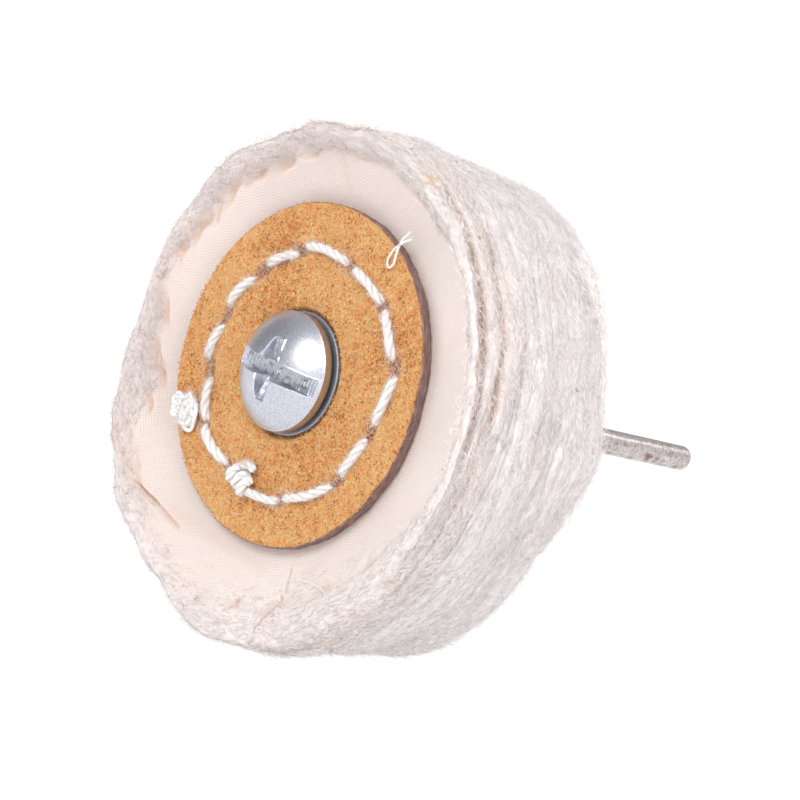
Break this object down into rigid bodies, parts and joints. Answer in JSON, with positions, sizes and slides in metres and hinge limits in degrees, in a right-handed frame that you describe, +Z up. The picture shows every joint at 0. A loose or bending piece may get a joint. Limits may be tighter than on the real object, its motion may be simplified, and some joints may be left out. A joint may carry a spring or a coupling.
{
  "type": "mounted cloth polishing wheel",
  "caption": "Mounted polishing wheel: sewn cotton cloth plies between suede leather discs, clamped by a slotted screw on a thin steel shank for a rotary tool or drill.",
  "frame": {"origin": "centre of the shank's end face", "axes": "+Y along the wheel's axis, from the screw head to the shank's end; +Z up"},
  "size_m": [0.0508, 0.0717, 0.0508],
  "materials": {
    "cloth": "undyed woven cotton, brushed out at the rim",
    "stitch_cord": "thick twisted white cotton cord",
    "suede": "orange-tan suede with a mauve-brown cut edge",
    "zinc_plate": "bright zinc plate",
    "steel": "plain drawn steel, dull, with a spot of rust"
  },
  "bodies": {
    "wheel": {"shank": "steel", "threaded_hub": "steel", "cloth_ply_01": "cloth", "cloth_ply_02": "cloth", "cloth_ply_03": "cloth", "cloth_ply_04": "cloth", "cloth_ply_05": "cloth", "cloth_ply_06": "cloth", "cloth_ply_07": "cloth", "cloth_ply_08": "cloth", "cloth_ply_09": "cloth", "cloth_ply_10": "cloth", "cloth_ply_11": "cloth", "cloth_ply_12": "cloth", "cloth_ply_13": "cloth", "cloth_ply_14": "cloth", "cloth_ply_15": "cloth", "cloth_ply_16": "cloth", "cloth_ply_17": "cloth", "cloth_ply_18": "cloth", "cloth_ply_19": "cloth", "cloth_ply_20": "cloth", "front_leather_disc": "suede", "rear_leather_disc": "suede", "front_stitch_cord": "stitch_cord", "rear_stitch_cord": "stitch_cord", "closing_knot": "stitch_cord", "frayed_cord_end": "stitch_cord"},
    "washers": {"flat_washer": "zinc_plate", "split_lock_washer": "zinc_plate"},
    "screw": {"clamp_screw": "zinc_plate"}
  },
  "joints": [
    {"name": "screw_travel", "type": "slide", "parent": "wheel", "child": "washers", "axis": [0, -1, 0], "range_m": [0, 0.008]},
    {"name": "screw_turn", "type": "hinge", "parent": "washers", "child": "screw", "pos_m": [0, -0.0676, 0], "axis": [0, -1, 0], "range_deg": [0, 2880]}
  ],
  "couplings": [
    {"joint": "screw_turn", "follows": "screw_travel", "rad_per_m": 6283.2}
  ]
}
